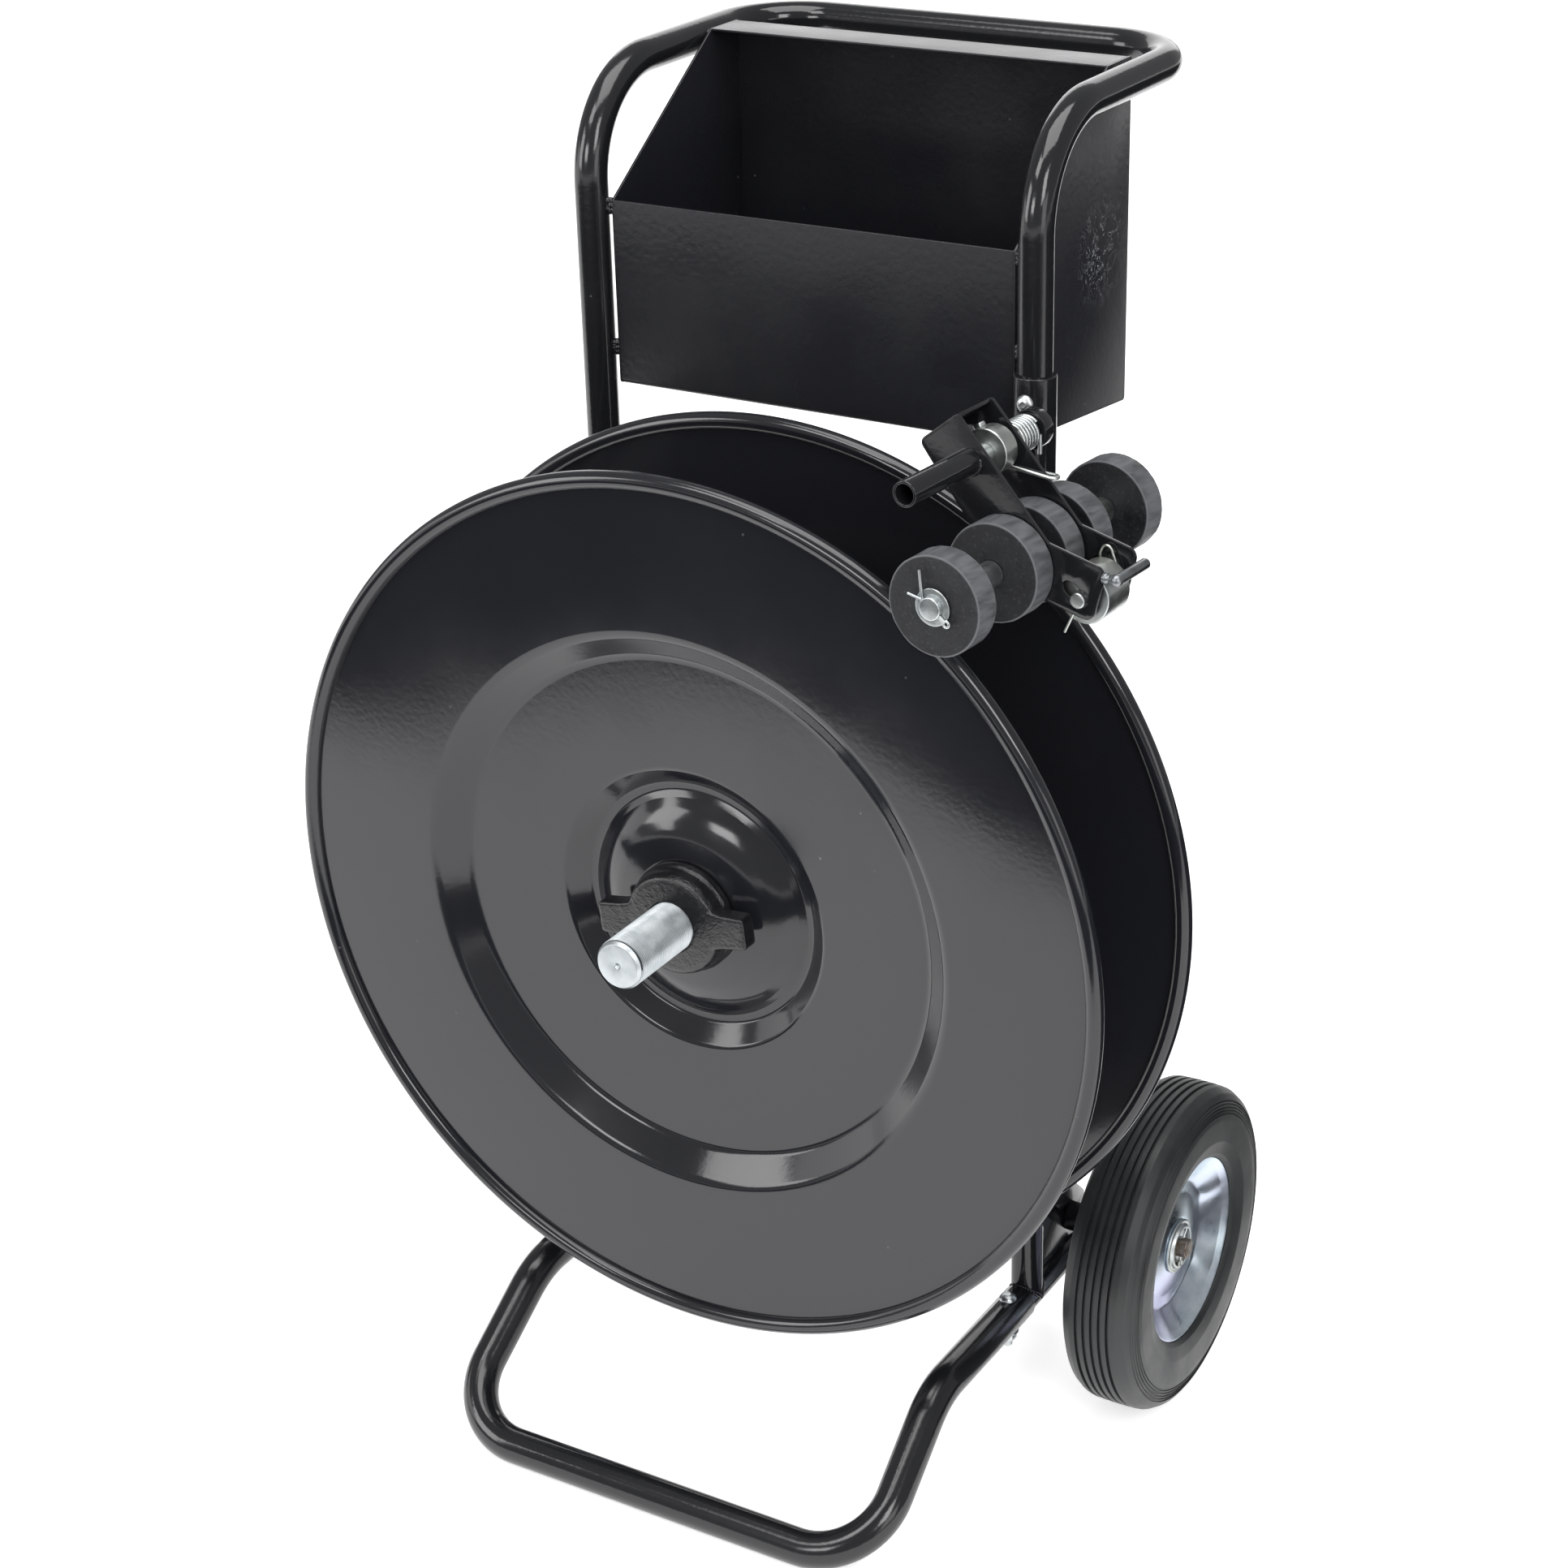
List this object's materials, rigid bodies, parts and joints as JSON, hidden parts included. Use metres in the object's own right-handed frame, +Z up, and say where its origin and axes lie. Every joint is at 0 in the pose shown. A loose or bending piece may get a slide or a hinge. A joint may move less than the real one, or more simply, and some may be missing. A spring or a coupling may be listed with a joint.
{
  "type": "reel cart",
  "caption": "Wheeled tubular cart with a large flanged reel on a threaded spindle, a sprung arm of rubber guide rollers, a foot stand and a tool tray under the handle.",
  "frame": {"origin": "on the floor under the middle of the overall depth, on the frame's plane of symmetry", "axes": "+Z up; the reel axis runs along Y and the front of the cart, where the spindle end is, faces -Y; +X is the side with the guide arm"},
  "size_m": [0.684, 0.5578, 1.054],
  "materials": {
    "black_enamel": "gloss black baked enamel",
    "disc_enamel": "gloss black enamel over pressed sheet",
    "cast_paint": "gloss black paint over rough casting",
    "zinc_steel": "clear zinc plate",
    "bare_steel": "bare mill steel, slightly browned",
    "bearing_steel": "ground",
    "rim_zinc": "blue-white zinc plate",
    "roller_rubber": "cut black rubber, dusty",
    "tyre_rubber": "moulded black rubber"
  },
  "bodies": {
    "frame": {"main_frame": "black_enamel", "base_frame": "black_enamel", "foot_stand": "black_enamel", "foot_bolts": "zinc_steel", "foot_nuts": "zinc_steel", "foot_washers": "zinc_steel", "crossbars": "black_enamel", "housing_plates": "black_enamel", "spindle_housing": "black_enamel", "spindle_bearings": "bearing_steel", "axle_brackets": "black_enamel", "axle": "bare_steel", "axle_spacers": "zinc_steel", "axle_washers": "zinc_steel", "axle_cotters": "zinc_steel", "tray_wrap": "black_enamel", "tray_side_right": "black_enamel", "tray_side_left": "black_enamel", "tray_welds": "black_enamel", "guide_sleeve": "black_enamel", "sleeve_bolt": "zinc_steel", "sleeve_nut": "zinc_steel", "pivot_boss": "black_enamel", "pivot_shaft": "zinc_steel", "shaft_collar": "zinc_steel", "set_screw": "zinc_steel"},
    "reel": {"spindle": "zinc_steel", "rear_disc": "disc_enamel", "rear_hub": "black_enamel", "core_tube": "black_enamel", "spindle_collar": "zinc_steel", "collar_screw": "zinc_steel"},
    "front_flange": {"front_disc": "disc_enamel"},
    "clamp_nut": {"clamp_nut": "cast_paint"},
    "guide_arm": {"arm_bracket": "black_enamel", "arm_handle": "black_enamel", "roller_shaft": "zinc_steel", "roller_spacers": "zinc_steel", "shaft_washers": "zinc_steel", "arm_cotters": "zinc_steel", "end_pin": "zinc_steel", "hairpin_clip": "zinc_steel", "guide_bar": "black_enamel", "torsion_spring": "zinc_steel"},
    "end_roller": {"end_roller": "zinc_steel"},
    "wheel_right": {"wheel_tyre_right": "tyre_rubber", "wheel_rim_outer_right": "rim_zinc", "wheel_rim_inner_right": "rim_zinc", "wheel_hub_right": "rim_zinc", "wheel_bearings_right": "bearing_steel"},
    "wheel_left": {"wheel_tyre_left": "tyre_rubber", "wheel_rim_outer_left": "rim_zinc", "wheel_rim_inner_left": "rim_zinc", "wheel_hub_left": "rim_zinc", "wheel_bearings_left": "bearing_steel"},
    "guide_roller_1": {"guide_roller_1": "roller_rubber"},
    "guide_roller_2": {"guide_roller_2": "roller_rubber"},
    "guide_roller_3": {"guide_roller_3": "roller_rubber"},
    "guide_roller_4": {"guide_roller_4": "roller_rubber"},
    "guide_roller_5": {"guide_roller_5": "roller_rubber"}
  },
  "joints": [
    {"name": "reel_spin", "type": "hinge", "parent": "frame", "child": "reel", "pos_m": [0, -0.0483, 0.4818], "axis": [0, 1, 0], "continuous": true},
    {"name": "front_disc_slide", "type": "slide", "parent": "reel", "child": "front_flange", "axis": [0, -1, 0], "range_m": [0, 0.05]},
    {"name": "clamp_nut_turn", "type": "hinge", "parent": "front_flange", "child": "clamp_nut", "pos_m": [0, -0.1986, 0.4818], "axis": [0, -1, 0], "range_deg": [0, 4250]},
    {"name": "wheel_spin_right", "type": "hinge", "parent": "frame", "child": "wheel_right", "pos_m": [0.27105, 0.0794, 0.13335], "axis": [1, 0, 0], "continuous": true},
    {"name": "wheel_spin_left", "type": "hinge", "parent": "frame", "child": "wheel_left", "pos_m": [-0.27105, 0.0794, 0.13335], "axis": [1, 0, 0], "continuous": true},
    {"name": "guide_arm_swing", "type": "hinge", "parent": "frame", "child": "guide_arm", "pos_m": [0.2156, -0.12384, 0.8522], "axis": [-0.0818, -0.9967, 0], "range_deg": [0, 55], "stiffness_Nm_per_rad": 0.6, "springref_deg": -34.38},
    {"name": "end_roller_spin", "type": "hinge", "parent": "guide_arm", "child": "end_roller", "pos_m": [0.30044, -0.1318, 0.7714], "axis": [0.0818, 0.9967, 0], "continuous": true},
    {"name": "guide_roller_1_spin", "type": "hinge", "parent": "guide_arm", "child": "guide_roller_1", "pos_m": [0.23884, -0.2308, 0.7866], "axis": [0.0818, 0.9967, 0], "continuous": true},
    {"name": "guide_roller_2_spin", "type": "hinge", "parent": "guide_arm", "child": "guide_roller_2", "pos_m": [0.24461, -0.16043, 0.7866], "axis": [0.0818, 0.9967, 0], "continuous": true},
    {"name": "guide_roller_3_spin", "type": "hinge", "parent": "guide_arm", "child": "guide_roller_3", "pos_m": [0.24793, -0.11997, 0.7866], "axis": [0.0818, 0.9967, 0], "continuous": true},
    {"name": "guide_roller_4_spin", "type": "hinge", "parent": "guide_arm", "child": "guide_roller_4", "pos_m": [0.251, -0.08249, 0.7866], "axis": [0.0818, 0.9967, 0], "continuous": true},
    {"name": "guide_roller_5_spin", "type": "hinge", "parent": "guide_arm", "child": "guide_roller_5", "pos_m": [0.25656, -0.01472, 0.7866], "axis": [0.0818, 0.9967, 0], "continuous": true}
  ],
  "couplings": [
    {"joint": "front_disc_slide", "follows": "clamp_nut_turn", "m_per_rad": 0.00067375}
  ]
}
